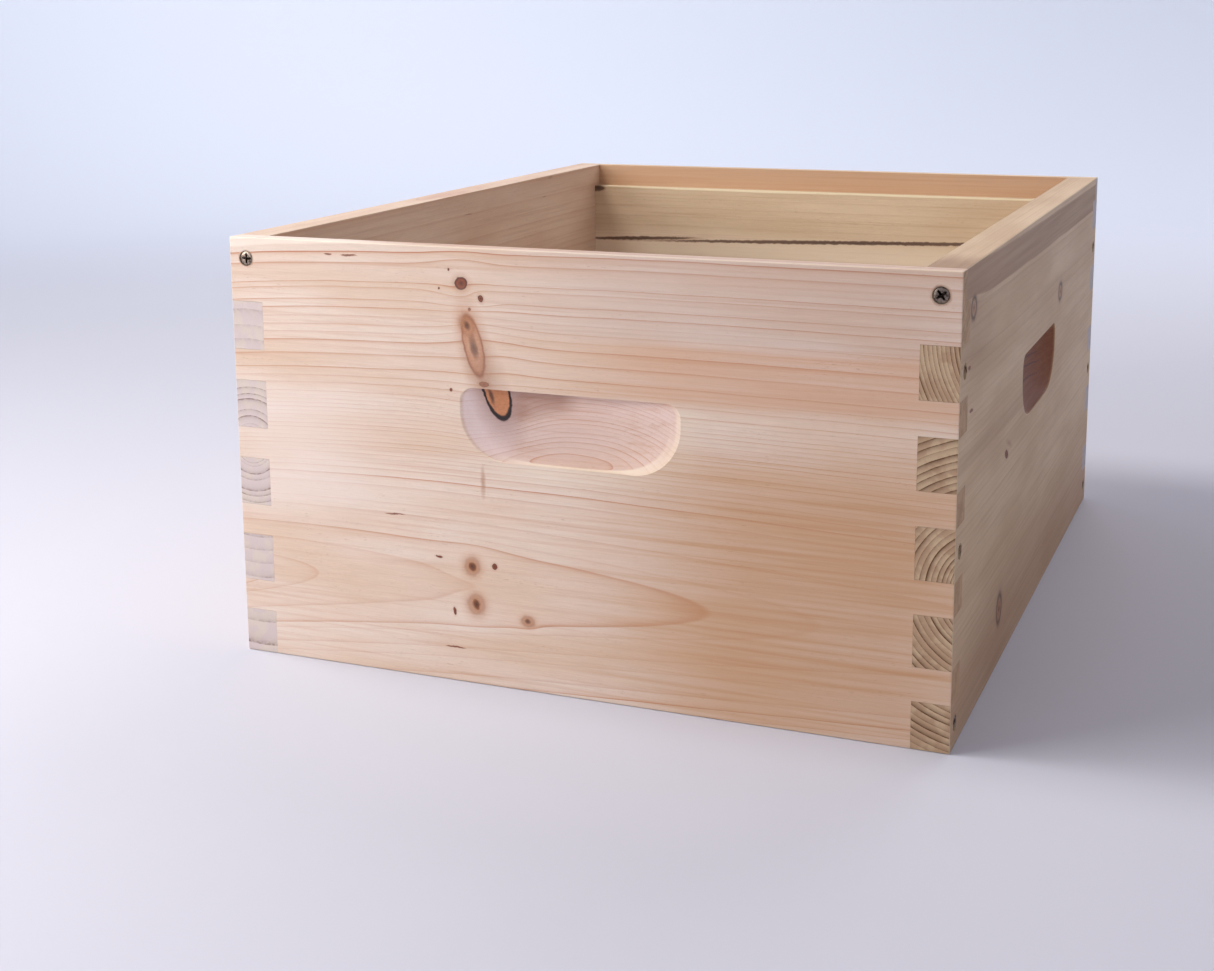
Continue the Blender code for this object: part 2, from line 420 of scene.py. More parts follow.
def driverCross():  # four tapering wings and a cone in the middle
    size = screwSizes
    above = size["cutAbove"]
    wide = 1 + above * (1 - size["recessTaper"]) / size["recessDepth"]
    inner = size["bar"] * size["recessCorner"]
    outline = []
    for quarter in range(4):
        turn = Matrix.Rotation(math.pi / 2 * quarter, 2)
        for x, y in ((size["wing"], -size["bar"] / 2), (size["wing"], size["bar"] / 2), (inner, inner)):
            outline.append(turn @ Vector((x, y)))
    bm = bmesh.new()
    top = [bm.verts.new((p.x * wide, p.y * wide, above)) for p in outline]
    taper = size["recessTaper"]
    low = [bm.verts.new((p.x * taper, p.y * taper, -size["recessDepth"])) for p in outline]
    tip = bm.verts.new((0, 0, -size["recessDepth"] * size["recessTip"]))
    for i in range(len(top)):
        j = (i + 1) % len(top)
        bm.faces.new((top[i], top[j], low[j], low[i]))
        bm.faces.new((low[i], low[j], tip))
    bm.faces.new(top)
    bmesh.ops.recalc_face_normals(bm, faces=bm.faces[:])
    return bm


def screwHole(sink):
    size = screwSizes
    gap = size["clearance"]
    profile = [
        (size["head"] + gap, sink + size["holeAbove"]),
        (size["head"] + gap, -size["rim"]),
        (size["shank"] + size["shankClearance"], -size["headHeight"]),
        (size["shank"] + size["shankClearance"], -size["length"] - gap),
    ]
    return turnedShape(profile, size["around"])


def neighbour(name, side):
    ring = ["front_board", "right_board", "back_board", "left_board"]
    return ring[(ring.index(name) + side) % len(ring)]


def screwMatrix(board, along, height, sink):
    seat = Matrix.Translation((along, sink, height)) @ Matrix.Rotation(math.radians(90), 4, "X")
    return boardMatrix(board) @ seat


def screwPlan():
    place = screwPlaces
    plan = []
    for board in ("front_board", "back_board"):
        for side in (-1, 1):
            other = neighbour(board, side)
            name = f"screw_{board.split('_')[0]}_{other.split('_')[0]}_top"
            along = side * (hiveWidth / 2 - place["endInset"])
            matrix = screwMatrix(board, along, hiveHeight - place["endDrop"], place["endSink"])
            plan.append((name, (board, other), matrix, place["endSink"]))
    fingers = [(bottom + top) / 2 for bottom, top, owner in fingerBands() if owner == "side"]
    rows = {
        "low": (fingers[0], place["lowSink"]),
        "middle": (fingers[len(fingers) // 2], place["highSink"]),
        "high": (fingers[-1], place["highSink"]),
    }
    for board in ("left_board", "right_board"):
        for side in (-1, 1):
            other = neighbour(board, side)
            along = side * (hiveLength / 2 - place["sideInset"])
            for row, (height, sink) in rows.items():
                name = f"screw_{board.split('_')[0]}_{other.split('_')[0]}_{row}"
                plan.append((name, (board, other), screwMatrix(board, along, height, sink), sink))
    return plan


# material helpers

def tone(red, green, blue):  # a colour as a paint chart gives it, 0 to 255
    shares = [value / 255 for value in (red, green, blue)]
    return tuple(s / 12.92 if s <= 0.04045 else ((s + 0.055) / 1.055) ** 2.4 for s in shares) + (1.0,)


class Field:  # a number that changes over a surface, kept as a node socket
    def __init__(self, tree, socket):
        self.tree = tree
        self.socket = socket

    def calc(self, operation, *others, clamp=False):
        node = self.tree.nodes.new("ShaderNodeMath")
        node.operation = operation
        node.use_clamp = clamp
        for index, value in enumerate((self,) + others):
            plug(self.tree, value, node.inputs[index])
        return Field(self.tree, node.outputs[0])

    def __add__(self, other):
        return self.calc("ADD", other)

    def __sub__(self, other):
        return self.calc("SUBTRACT", other)

    def __mul__(self, other):
        return self.calc("MULTIPLY", other)

    def __truediv__(self, other):
        return self.calc("DIVIDE", other)

    def flip(self):  # one minus this
        return self.calc("MULTIPLY_ADD", -1.0, 1.0)

    def least(self, other):
        return self.calc("MINIMUM", other)

    def most(self, other):
        return self.calc("MAXIMUM", other)

    def size(self):
        return self.calc("ABSOLUTE")

    def held(self):
        return self.calc("ADD", 0.0, clamp=True)

    def between(self, low, high):  # 0 up to low, 1 from high on, and smooth from one to the other
        node = self.tree.nodes.new("ShaderNodeMapRange")
        node.interpolation_type = "SMOOTHSTEP"
        plug(self.tree, self, node.inputs["Value"])
        node.inputs["From Min"].default_value = low
        node.inputs["From Max"].default_value = high
        return Field(self.tree, node.outputs["Result"])

    def band(self, low, high, soft):
        return self.between(low - soft, low + soft) * self.between(high - soft, high + soft).flip()


def plug(tree, value, socket):
    if isinstance(value, Field):
        tree.links.new(value.socket, socket)
    elif isinstance(value, bpy.types.NodeSocket):
        tree.links.new(value, socket)
    else:
        socket.default_value = value


def vectorCalc(tree, operation, *values):
    node = tree.nodes.new("ShaderNodeVectorMath")
    node.operation = operation
    for index, value in enumerate(values):
        plug(tree, value, node.inputs[index])
    return node.outputs["Vector"]


def lengthOf(tree, vector):
    node = tree.nodes.new("ShaderNodeVectorMath")
    node.operation = "LENGTH"
    tree.links.new(vector, node.inputs[0])
    return Field(tree, node.outputs["Value"])


def split(tree, vector):
    node = tree.nodes.new("ShaderNodeSeparateXYZ")
    tree.links.new(vector, node.inputs[0])
    return [Field(tree, output) for output in node.outputs]


def joinUp(tree, x, y, z):
    node = tree.nodes.new("ShaderNodeCombineXYZ")
    for value, socket in zip((x, y, z), node.inputs):
        plug(tree, value, socket)
    return node.outputs[0]


def seenFrom(tree, spot, at, size, turn=0.0):  # spot in the measure of a tilted egg at that place
    node = tree.nodes.new("ShaderNodeMapping")
    node.vector_type = "TEXTURE"
    tree.links.new(spot, node.inputs["Vector"])
    node.inputs["Location"].default_value = at
    node.inputs["Rotation"].default_value = (0, math.radians(turn), 0)
    node.inputs["Scale"].default_value = size
    return node.outputs[0]


def noise(tree, spot, stretch, detail=2.0, roughness=0.5):
    node = tree.nodes.new("ShaderNodeTexNoise")
    scaled = vectorCalc(tree, "DIVIDE", spot, stretch)
    tree.links.new(scaled, node.inputs["Vector"])
    node.inputs["Scale"].default_value = 1.0
    node.inputs["Detail"].default_value = detail
    node.inputs["Roughness"].default_value = roughness
    return Field(tree, node.outputs[0])


def drawn(tree, field, points, low, high):  # a line through points, read at field
    node = tree.nodes.new("ShaderNodeFloatCurve")
    line = node.mapping.curves[0]
    node.mapping.use_clip = False
    node.mapping.extend = "EXTRAPOLATED"
    steps = [((x - low) / (high - low), y) for x, y in points]
    line.points[0].location = steps[0]
    line.points[1].location = steps[-1]
    for step in steps[1:-1]:
        line.points.new(*step)
    for point in line.points:
        point.handle_type = "VECTOR"
    node.mapping.update()
    plug(tree, (field - low) * (1 / (high - low)), node.inputs["Value"])
    return Field(tree, node.outputs[0])


def mixed(tree, share, first, second, blend="MIX"):
    node = tree.nodes.new("ShaderNodeMix")
    node.data_type = "RGBA"
    node.blend_type = blend
    plug(tree, share, node.inputs[0])
    plug(tree, first, node.inputs[6])
    plug(tree, second, node.inputs[7])
    return node.outputs[2]


def ramp(tree, field, stops):
    node = tree.nodes.new("ShaderNodeValToRGB")
    plug(tree, field, node.inputs[0])
    bar = node.color_ramp
    while len(bar.elements) < len(stops):
        bar.elements.new(0.5)
    for element, (place, colour, cover) in zip(bar.elements, stops):
        element.position = place
        element.color = (*colour[:3], cover)
    return node.outputs["Color"], Field(tree, node.outputs["Alpha"])


def addRelief(tree, shader, height, strength, distance):
    bump = tree.nodes.new("ShaderNodeBump")
    bump.inputs["Strength"].default_value = strength
    bump.inputs["Distance"].default_value = distance
    plug(tree, height, bump.inputs["Height"])
    tree.links.new(bump.outputs["Normal"], shader.inputs["Normal"])


def blankMaterial(name):
    material = bpy.data.materials.new(name)
    material.use_nodes = True
    tree = material.node_tree
    return material, tree, tree.nodes["Principled BSDF"]


# pine

grain = {  # sizes are millimetres along, through and up the board
    "wander": (170, 60, 60),  # slow drift of the ring lines
    "ripple": (30, 11, 11),
    "fibre": (11, 0.32, 0.32),
    "fleck": (2.6, 0.5, 0.5),
    "fleckShare": 0.3,
    "streak": (150, 2.4, 2.4),
    "streakFrom": (0.48, 0.72),
    "cloud": (120, 22, 22),
    "cloudFrom": (0.30, 0.70),
    "tick": (4.2, 0.22, 0.22),  # short dark fibre ends
    "tickFrom": (0.70, 0.76),
    "tickPatch": (60, 9, 9),
    "tickPatchFrom": (0.45, 0.62),
    "pitch": (17, 0.75, 0.75),  # dark dashes in the bold lines
    "pitchFrom": (0.705, 0.735),
    "pitchLine": (0.05, 0.35),
    "pitchPatch": (50, 12, 12),
    "pitchPatchFrom": (0.5, 0.6),
    "linePatch": (90, 14, 14),
    "softPower": 1.6,
    "softEdge": 0.93,
    "boldPoints": 28,
    "seedStep": 7.3,
    "seedShift": (731.0, 57.0, 91.0),
    "knotShake": (3.4, 3.4, 3.4),
    "knotShift": (1.6, 1.6, -1.6),
    "crumbs": (1.4, 1.4, 0.9),
    "pores": (2.0, 0.45, 0.45),
    "blotch": (9, 7, 7),
    "blotchFrom": (0.40, 0.60),
    "dash": (20, 2.4, 1.4),  # how the ring lines break up on end grain
    "dashFrom": (0.40, 0.60),
    "swell": (60, 14, 14),
    "dull": 0.42,
    "dullFibre": 0.16,
    "dullLine": -0.10,
    "dullEnds": 0.16,
    "riseFibre": 0.05,
    "riseLine": 0.05,
    "riseEnds": 0.12,
    "riseSwell": 0.03,
    "riseKnot": 0.22,
    "sinkKnot": 0.05,
    "sinkTick": 0.06,
    "sinkPitch": 0.05,
    "reliefDepth": 0.001,  # metres
    "endFrom": (0.6, 0.9),  # how squarely a face looks along the board to be end grain
    "roundFrom": (0.86, 0.985),
    "pocketSlack": 2.0,
    "pocketDepth": (0.25, 13.0, 0.22),  # from, to and how softly
}

knotRamps = {  # from the heart of a knot, 0, through its edge, 0.5, to the wood around it, 1
    "round": [
        (0.0, tone(84, 34, 16), 1.0),
        (0.30, tone(134, 64, 30), 1.0),
        (0.44, tone(98, 42, 20), 1.0),
        (0.50, tone(64, 30, 18), 0.95),
        (0.56, tone(176, 118, 84), 0.35),
        (1.0, tone(196, 150, 118), 0.0),
    ],
    "spike": [
        (0.0, tone(74, 40, 26), 0.95),
        (0.13, tone(120, 72, 46), 0.9),
        (0.24, tone(196, 140, 104), 0.8),
        (0.38, tone(188, 128, 90), 0.85),
        (0.47, tone(142, 82, 50), 0.95),
        (0.55, tone(180, 124, 92), 0.4),
        (1.0, tone(204, 160, 128), 0.0),
    ],
    "bark": [
        (0.0, tone(206, 142, 92), 1.0),
        (0.415, tone(204, 140, 94), 1.0),
        (0.435, tone(56, 36, 26), 1.0),
        (0.46, tone(30, 22, 20), 1.0),
        (0.49, tone(52, 34, 28), 1.0),
        (0.51, tone(150, 106, 82), 0.5),
        (1.0, tone(176, 134, 110), 0.0),
    ],
    "ring": [
        (0.0, tone(138, 98, 66), 0.75),
        (0.28, tone(156, 118, 84), 0.65),
        (0.42, tone(72, 46, 26), 0.9),
        (0.50, tone(92, 60, 38), 0.7),
        (0.66, tone(160, 124, 98), 0.25),
        (1.0, tone(176, 144, 118), 0.0),
    ],
    "seat": [
        (0.0, tone(90, 62, 46), 0.9),
        (0.42, tone(110, 76, 54), 0.85),
        (0.52, tone(160, 120, 90), 0.4),
        (0.6, tone(190, 150, 122), 0.0),
    ],
    "pitch": [
        (0.0, tone(112, 60, 36), 0.95),
        (0.42, tone(132, 74, 46), 0.85),
        (0.6, tone(188, 138, 106), 0.0),
    ],
    "smear": [
        (0.0, tone(168, 122, 94), 0.75),
        (0.5, tone(176, 132, 104), 0.4),
        (0.8, tone(190, 146, 116), 0.0),
    ],
    "crack": [
        (0.0, tone(66, 40, 28), 0.95),
        (0.40, tone(92, 58, 40), 0.85),
        (0.5, tone(150, 104, 76), 0.4),
        (0.62, tone(190, 146, 116), 0.0),
    ],
    "cloudy": [
        (0.0, tone(78, 40, 22), 0.95),
        (0.14, tone(116, 66, 36), 0.9),
        (0.26, tone(176, 118, 76), 0.75),
        (0.44, tone(162, 104, 66), 0.65),
        (0.56, tone(176, 118, 84), 0.4),
        (0.75, tone(200, 150, 116), 0.2),
        (1.0, tone(210, 170, 140), 0.0),
    ],
}


def evenRings(low, high, gap, boldness):
    count = int(round((high - low) / gap))
    return [(low + (high - low) * k / count, boldness) for k in range(count + 1)]


def flowAround(tree, spot, level, knots):  # the grain swings round each knot
    for knot in knots:
        reach, spread = knot["flow"]
        near = seenFrom(tree, spot, knot["at"], (reach, knot.get("deep", 30.0), spread))
        dot = tree.nodes.new("ShaderNodeVectorMath")
        dot.operation = "DOT_PRODUCT"
        tree.links.new(near, dot.inputs[0])
        tree.links.new(near, dot.inputs[1])
        pull = (Field(tree, dot.outputs["Value"]) * -1.0).calc("EXPONENT")
        above = split(tree, near)[2]
        level = level - above * pull * (spread * knot.get("push", 0.8))
    return level


def knotFields(tree, spot, knots):  # for each kind of knot, how far out from its heart a point is
    fields = {}
    for knot in knots:
        egg = seenFrom(tree, spot, knot["at"], knot["size"], knot.get("turn", 0.0))
        out = lengthOf(tree, egg)
        kind = knot["kind"]
        fields[kind] = out if kind not in fields else fields[kind].least(out)
    return fields


def ringLines(tree, look, radius, spot):  # the dark edge of each ring, and its slow darkening
    middleDepth, middleHeight = look["middle"]
    points = sorted(
        (math.hypot(middleDepth, height - middleHeight), boldness) for height, boldness in look["rings"]
    )
    low, high = points[0][0], points[-1][0]
    counted = [(out, index / len(points)) for index, (out, _) in enumerate(points)]
    phase = drawn(tree, radius, counted, low, high) * float(len(points))
    every = max(1, len(points) // grain["boldPoints"])
    bold = drawn(tree, radius, points[::every] + [points[-1]], low, high)
    ring = phase.calc("FLOOR")
    part = phase - ring
    white = tree.nodes.new("ShaderNodeTexWhiteNoise")
    white.noise_dimensions = "1D"
    plug(tree, ring + look["seed"] * grain["seedStep"], white.inputs["W"])
    chance = Field(tree, white.outputs["Value"])
    late = part.calc("POWER", look["latePower"]) * part.between(1 - look["lateEdge"], 1.0).flip()
    soft = part.calc("POWER", grain["softPower"]) * part.between(grain["softEdge"], 1.0).flip()
    patch = noise(tree, spot, grain["linePatch"], 2.0)
    strength = bold * (chance * 0.9 + 0.45) * (patch * 1.2 + 0.4)
    return late * strength, soft * strength


def pineMaterial(name, look, halfLength):
    material, tree, shader = blankMaterial(name)
    coordinates = tree.nodes.new("ShaderNodeTexCoord")
    shift = (halfLength * 1000, 0, 0)
    spot = vectorCalc(tree, "MULTIPLY_ADD", coordinates.outputs["Object"], (1000, 1000, 1000), shift)
    normal = split(tree, coordinates.outputs["Normal"])
    rough = vectorCalc(tree, "ADD", spot, [look["seed"] * step for step in grain["seedShift"]])
    along, depth, height = split(tree, spot)

    wander = noise(tree, rough, grain["wander"]) - 0.5
    ripple = noise(tree, rough, grain["ripple"]) - 0.5
    climb = (along / -look["climbLength"]).calc("EXPONENT").flip() * look["climb"]
    level = height - climb + wander * look["wander"] + ripple * look["ripple"]
    level = flowAround(tree, spot, level, [k for k in look["knots"] if "flow" in k])
    middleDepth, middleHeight = look["middle"]
    leanDepth, leanHeight = look["lean"]
    across = depth - along * leanDepth - middleDepth
    up = level - along * leanHeight - middleHeight
    radius = lengthOf(tree, joinUp(tree, 0.0, across, up))
    if look["upper"]:
        upperDepth, upperHeight = look["upper"]["middle"]
        upper = lengthOf(tree, joinUp(tree, 0.0, depth - upperDepth, level - upperHeight))
        above = height.calc("GREATER_THAN", look["upper"]["above"])
        radius = upper * look["upper"]["tight"] * above + radius * above.flip()
    line, soft = ringLines(tree, look, radius, rough)

    fleck = noise(tree, rough, grain["fleck"], 3.0, 0.7) * grain["fleckShare"]
    fibre = noise(tree, rough, grain["fibre"], 4.0, 0.6) * (1 - grain["fleckShare"]) + fleck
    streak = noise(tree, rough, grain["streak"], 3.0, 0.6)
    cloud = noise(tree, rough, grain["cloud"])
    tick = noise(tree, rough, grain["tick"], 1.0).between(*grain["tickFrom"])
    tick = tick * noise(tree, rough, grain["tickPatch"], 1.0).between(*grain["tickPatchFrom"])
    pitch = noise(tree, rough, grain["pitch"], 1.0).between(*grain["pitchFrom"])
    pitch = pitch * line.between(*grain["pitchLine"])
    pitch = pitch * noise(tree, rough, grain["pitchPatch"], 1.0).between(*grain["pitchPatchFrom"])

    paint = look["colours"]
    colour = mixed(tree, cloud.between(*grain["cloudFrom"]), paint["pale"], paint["warm"])
    colour = mixed(tree, streak.between(*grain["streakFrom"]) * look["streaks"], colour, paint["streak"])
    colour = mixed(tree, (soft * look["softLines"]).held(), colour, paint["soft"])
    colour = mixed(tree, (line * look["lines"]).held(), colour, paint["late"])
    colour = mixed(tree, tick * look["ticks"], colour, paint["tick"])
    colour = mixed(tree, pitch * look["pitch"], colour, paint["pitch"])
    shade = fibre.calc("MULTIPLY_ADD", look["fibre"], 1 - look["fibre"] / 2)
    colour = mixed(tree, 1.0, colour, joinUp(tree, shade, shade, shade), "MULTIPLY")

    for tint in look["tints"]:  # broad tone changes: a box of wood that takes another tone; some boxes hold painted light and shade, marked where they are listed
        low, high = tint["low"], tint["high"]
        share = along.band(low[0], high[0], tint["soft"][0])
        share = share * depth.band(low[1], high[1], tint["soft"][1])
        share = share * level.band(low[2], high[2], tint["soft"][2])
        share = share * (streak * 0.8 + 0.6)
        colour = mixed(tree, (share * tint["share"]).held(), colour, tint["colour"])

    shake = noise(tree, rough, grain["knotShake"]) - 0.5
    wobble = vectorCalc(tree, "MULTIPLY_ADD", joinUp(tree, shake, shake, shake), grain["knotShift"], spot)
    crumbs = noise(tree, rough, grain["crumbs"], 3.0)
    knotRelief = None
    for kind, out in knotFields(tree, wobble, look["knots"]).items():
        knotColour, cover = ramp(tree, out * 0.5, knotRamps[kind])
        mottle = crumbs.calc("MULTIPLY_ADD", 0.5, 0.75)
        knotColour = mixed(tree, 1.0, knotColour, joinUp(tree, mottle, mottle, mottle), "MULTIPLY")
        colour = mixed(tree, cover, colour, knotColour)
        knotRelief = cover if knotRelief is None else knotRelief.most(cover)

    ends = normal[0].size().between(*grain["endFrom"])
    pores = noise(tree, rough, grain["pores"], 3.0, 0.65)
    blotch = noise(tree, rough, grain["blotch"]).between(*grain["blotchFrom"])
    endColour = mixed(tree, blotch, paint["endPale"], paint["endTint"])
    dash = noise(tree, rough, grain["dash"]).between(*grain["dashFrom"]) * 0.75 + 0.35
    endLine = ((line * 1.3 * dash + soft * look["endSoft"]) * look["endLines"]).held()
    endColour = mixed(tree, endLine, endColour, paint["endLate"])
    speck = pores.calc("MULTIPLY_ADD", look["endPits"], 1 - look["endPits"] / 2)
    endColour = mixed(tree, 1.0, endColour, joinUp(tree, speck, speck, speck), "MULTIPLY")
    colour = mixed(tree, ends, colour, endColour)

    square = normal[0].size().most(normal[1].size()).most(normal[2].size())
    reach = handhold["width"] * 500 + grain["pocketSlack"]
    pocketTop = handhold["top"] * 1000 + grain["pocketSlack"]
    pocketFoot = pocketTop - handhold["height"] * 1000 - grain["pocketSlack"] * 2
    middle = halfLength * 1000
    # the handhold recess: a tone is multiplied in there, a faint lilac cast of the cut on the front and
    # left boards and painted shade on the back and right boards
    pocketTintAndShade = along.band(middle - reach, middle + reach, 1.0) * height.band(pocketFoot, pocketTop, 1.0)
    pocketTintAndShade = pocketTintAndShade * depth.band(*grain["pocketDepth"])
    # cream on the eased edges: partly wear, partly a painted highlight where the arrises catch the light;
    # left out of the handhold recess
    edgeWearAndHighlight = square.between(*grain["roundFrom"]).flip() * pocketTintAndShade.flip()
    colour = mixed(tree, edgeWearAndHighlight * look["edgeWearAndHighlight"], colour, paint["edgeWearAndHighlight"])
    colour = mixed(tree, pocketTintAndShade * look["pocketTintAndShadeShare"], colour, paint["pocketTintAndShade"], "MULTIPLY")
    tree.links.new(colour, shader.inputs["Base Color"])

    dull = fibre * grain["dullFibre"] + line * grain["dullLine"] + ends * grain["dullEnds"]
    dull = dull + grain["dull"]
    plug(tree, dull.held(), shader.inputs["Roughness"])
    shader.inputs["Specular IOR Level"].default_value = look["sheen"]
    relief = fibre * grain["riseFibre"] + line.held() * grain["riseLine"]
    relief = relief - tick * grain["sinkTick"] - pitch * grain["sinkPitch"]
    relief = relief + pores * ends * grain["riseEnds"]
    relief = relief + noise(tree, rough, grain["swell"], 1.0) * grain["riseSwell"]
    if knotRelief is not None:
        relief = relief + knotRelief * (crumbs * grain["riseKnot"] - grain["sinkKnot"])
    addRelief(tree, shader, relief, look["relief"], grain["reliefDepth"])
    return material


pineColours = {
    "pale": tone(225, 205, 189),
    "warm": tone(217, 189, 165),
    "streak": tone(208, 171, 144),
    "soft": tone(210, 167, 135),
    "late": tone(182, 112, 70),
    "tick": tone(160, 104, 72),
    "pitch": tone(112, 66, 42),
    "endPale": tone(196, 184, 178),
    "endTint": tone(184, 174, 178),
    "endLate": tone(120, 100, 90),
    # cream for the eased edges: partly wear, partly a painted highlight
    "edgeWearAndHighlight": tone(244, 228, 192),
    # multiplied over the handhold recess: a faint lilac cast of the cut; the darker tones other boards
    # give here are painted shade
    "pocketTintAndShade": tone(250, 240, 246),
}

pineLook = {
    "seed": 1,
    "middle": (150.0, 50.0),  # depth and height of the tree's middle, at the left end
    "lean": (0.0, 0.0),  # how that moves for each millimetre along
    "climb": 0.0,
    "climbLength": 110.0,
    "wander": 2.4,
    "ripple": 0.7,
    "rings": evenRings(0, 244, 6.0, 0.6),
    "latePower": 12.0,
    "lateEdge": 0.05,
    "lines": 1.2,
    "softLines": 0.34,
    "streaks": 0.56,
    "ticks": 0.6,
    "pitch": 0.9,
    "fibre": 0.44,
    "endLines": 0.9,
    "endSoft": 0.3,
    "upper": None,  # a second plank glued on above that height, grown round a middle of its own
    "endPits": 0.35,
    # how much of the cream edge wear and painted highlight goes on
    "edgeWearAndHighlight": 0.42,
    # how strongly the recess tone, lilac cast or painted shade by board, is multiplied in
    "pocketTintAndShadeShare": 0.8,
    "sheen": 0.5,
    "relief": 0.7,
    "knots": [],
    "tints": [],
    "colours": pineColours,
}

frontLook = pineLook | {
    "seed": 3,
    "middle": (96.0, 48.0),
    "lean": (0.018, 0.0),
    "relief": 0.8,
    "climb": 11.0,
    "rings": [
        (49, 0.5), (54, 0.5), (61, 0.6), (71, 0.55), (80, 0.6), (83, 0.5), (91, 0.8), (96, 0.6),
        (105, 0.6), (110, 1.1), (114, 0.7),
        *evenRings(117, 156, 2.3, 0.75),
        (161, 0.9), (165, 0.6), (170, 1.0), (178, 1.1), (185.5, 0.8), (190, 0.4), (194.3, 0.7),
        (199, 0.5), (203.9, 0.8), (208.3, 1.2), (215.2, 1.5), (218, 1.5), (228.9, 1.3), (234.7, 1.3),
        (242, 0.7),
    ],
    "knots": [
        {"kind": "round", "at": (145.5, 0, 224.7), "size": (3.7, 30, 3.4),
         "flow": (17, 10.5), "push": 0.92},
        {"kind": "round", "at": (157, 0, 217), "size": (1.4, 30, 2.0), "flow": (9, 4), "turn": -20},
        {"kind": "spike", "at": (152, 0, 191), "size": (5.8, 30, 17.5), "turn": -13,
         "flow": (15, 15), "push": 0.3},
        {"kind": "cloudy", "at": (148.5, 0, 202), "size": (4.2, 20, 6.5), "turn": -24},
        {"kind": "round", "at": (158, 0, 170.5), "size": (2.8, 3, 1.5)},
        {"kind": "bark", "at": (160.5, 9, 169), "size": (8.4, 8, 21.5), "turn": -17,
         "flow": (26, 24), "deep": 9, "push": 0.8},
        {"kind": "crack", "at": (159.0, 9, 165), "size": (1.7, 5, 9.5), "turn": -14},
        {"kind": "smear", "at": (156, 0, 116), "size": (1.2, 20, 7.0)},
        {"kind": "cloudy", "at": (148.5, 0, 67.5), "size": (5.0, 30, 5.4), "flow": (20, 9), "push": 0.9},
        {"kind": "cloudy", "at": (150.5, 0, 46), "size": (5.4, 30, 6.2), "flow": (22, 9), "push": 0.9},
        {"kind": "round", "at": (148.5, 0, 67.5), "size": (2.2, 20, 2.2)},
        {"kind": "round", "at": (150.5, 0, 46), "size": (1.5, 20, 2.8), "turn": -20},
        {"kind": "round", "at": (162, 0, 69), "size": (1.5, 20, 1.6)},
        {"kind": "cloudy", "at": (181.5, 0, 40.0), "size": (4.0, 20, 3.0), "flow": (9, 5)},
        {"kind": "round", "at": (137, 0, 40.5), "size": (0.8, 20, 1.8)},
        {"kind": "round", "at": (132, 0, 221.5), "size": (0.6, 20, 0.6)},
        {"kind": "round", "at": (138, 0, 232), "size": (0.6, 20, 0.7)},
        {"kind": "round", "at": (150, 0, 211), "size": (0.8, 20, 0.9)},
        {"kind": "round", "at": (138, 0, 166), "size": (0.8, 20, 0.9)},
        {"kind": "round", "at": (128, 0, 71), "size": (1.8, 20, 0.6)},
        {"kind": "pitch", "at": (64, 0, 236.9), "size": (2.4, 3, 0.6)},
        {"kind": "pitch", "at": (77, 0, 236.8), "size": (5, 3, 0.6)},
        {"kind": "seat", "at": (10.5, 0, 232), "size": (4.4, 3, 4.4)},
        {"kind": "seat", "at": (402.5, 0, 232), "size": (4.9, 3, 4.9)},
        {"kind": "pitch", "at": (101, 0, 92.5), "size": (6, 3, 0.5), "turn": -2},
        {"kind": "pitch", "at": (137, 0, 19.5), "size": (6, 3, 0.6)},
    ],
    "tints": [
        # painted shade: darker brown in the upper part of the handhold recess, under its top wall
        {"low": (168, 3, 148), "high": (204, 20, 172), "soft": (8, 1, 5), "share": 0.6,
         "colour": tone(158, 112, 86)},
        {"low": (136, 3, 148), "high": (156, 20, 172), "soft": (5, 1, 5), "share": 0.05,
         "colour": tone(150, 110, 92)},
        # painted light: a paler left end of the handhold recess
        {"low": (138, 0.6, 124), "high": (172, 20, 166), "soft": (6, 0.4, 5), "share": 0.4,
         "colour": tone(252, 240, 236)},
        # painted highlight: pale cream along the lower rim of the handhold recess
        {"low": (178, 0.2, 110), "high": (258, 2.3, 140), "soft": (18, 0.4, 4), "share": 0.9,
         "colour": tone(250, 242, 214)},
        # painted highlight: pale cream on the shallow right end of the handhold recess
        {"low": (250, 0.2, 122), "high": (278, 1.1, 156), "soft": (6, 0.5, 7), "share": 0.45,
         "colour": tone(244, 232, 198)},
        {"low": (226, -2, 158), "high": (430, 22, 189), "soft": (50, 1, 5), "share": 0.55,
         "colour": tone(204, 152, 116)},
        # orange over the lower right: partly the wood's warmer tone, partly painted yellow bounce light
        {"low": (250, -2, -9), "high": (430, 22, 128), "soft": (60, 1, 26), "share": 0.66,
         "colour": tone(186, 132, 80)},
        {"low": (-9, -2, 238), "high": (430, 22, 260), "soft": (1, 1, 1), "share": 0.6,
         "colour": tone(246, 230, 214)},
        # pinkish grey-brown over the upper right: partly the wood's tone, partly painted shade as the
        # light falls off to the right
        {"low": (190, -2, 189), "high": (430, 22, 246), "soft": (60, 1, 5), "share": 0.40,
         "colour": tone(192, 160, 142)},
        # painted highlight: a whitish glare over the left middle of the face
        {"low": (-9, -2, 84), "high": (80, 22, 160), "soft": (40, 1, 14), "share": 0.45,
         "colour": tone(236, 222, 213)},
    ],
    "colours": pineColours | {
        "endPale": tone(190, 152, 114),
        "endTint": tone(176, 138, 100),
        "endLate": tone(122, 88, 62),
    },
}

